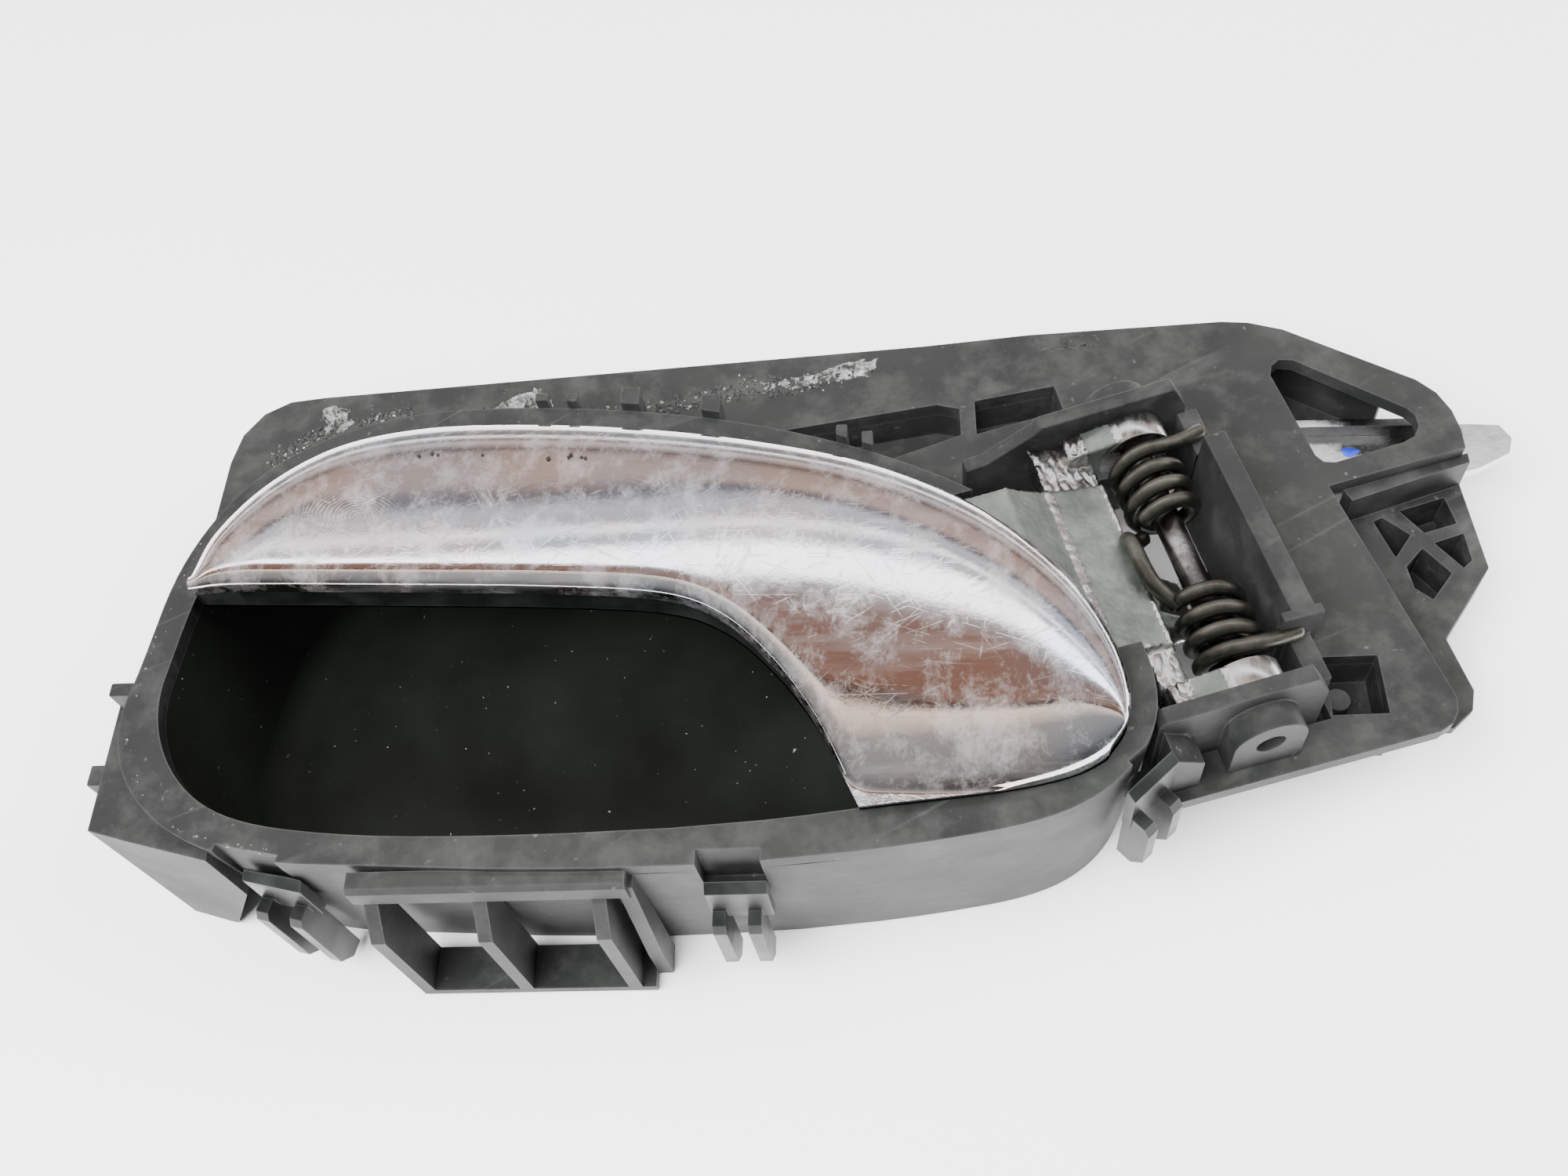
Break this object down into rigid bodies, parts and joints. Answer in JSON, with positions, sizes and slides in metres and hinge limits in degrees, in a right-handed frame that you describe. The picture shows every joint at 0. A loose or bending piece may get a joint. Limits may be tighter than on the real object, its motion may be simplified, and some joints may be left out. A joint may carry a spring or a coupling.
{
  "type": "interior car door handle",
  "caption": "Inside door handle: a chrome pull lever over an oblong finger recess, hinged on a pin with a double torsion spring, with a release link and a mounting plate.",
  "frame": {"origin": "on the flat back of the recess cup", "axes": "+X along the recess towards the hinge and link, +Y across it towards the long plate edge, +Z out of the door towards the hand"},
  "size_m": [0.2013, 0.0971, 0.0406],
  "materials": {
    "filled_plastic": "dusty dark grey glass-filled plastic",
    "soft_black_paint": "fine-grained black inside the recess",
    "clip_plastic": "smooth dark grey plastic",
    "black_plastic": "satin black plastic",
    "bright_chrome": "polished, finely scratched",
    "raw_zinc_casting": "raw die-cast zinc with trimmed flash",
    "plated_steel": "zinc-plated",
    "dark_steel": "worn dark steel",
    "spring_steel": "oiled dark spring wire",
    "bright_zinc_sheet": "bright zinc-plated sheet"
  },
  "bodies": {
    "housing": {"recess_cup": "soft_black_paint", "rim_frame": "filled_plastic", "mounting_plate": "filled_plastic", "pocket_tray": "filled_plastic", "peg_ledge": "filled_plastic", "hinge_wall_rear": "filled_plastic", "hinge_wall_front": "filled_plastic", "slot_wall": "filled_plastic", "rail_box": "filled_plastic", "left_box": "filled_plastic", "snap_clip_middle": "clip_plastic", "snap_clip_left": "clip_plastic", "snap_clip_right": "clip_plastic", "end_catch": "filled_plastic", "locating_tabs": "filled_plastic", "end_bracket": "filled_plastic", "link_channel": "filled_plastic", "pivot_pin": "dark_steel", "return_spring": "spring_steel"},
    "lever": {"lever_cover": "bright_chrome", "lever_backing": "black_plastic", "lever_casting": "raw_zinc_casting", "cover_screws": "plated_steel"},
    "link": {"release_link": "bright_zinc_sheet"}
  },
  "joints": [
    {"name": "lever_pull", "type": "hinge", "parent": "housing", "child": "lever", "pos_m": [0.0543, 0.0057, 0.026], "axis": [-0.2521, 0.9677, 0], "range_deg": [0, 32], "stiffness_Nm_per_rad": 0.35, "springref_deg": -28.65, "deforming": ["return_spring"]},
    {"name": "link_draw", "type": "slide", "parent": "housing", "child": "link", "axis": [-0.9677, -0.2521, 0], "range_m": [0, 0.0085]}
  ],
  "couplings": [
    {"joint": "link_draw", "follows": "lever_pull", "m_per_rad": 0.0149}
  ]
}
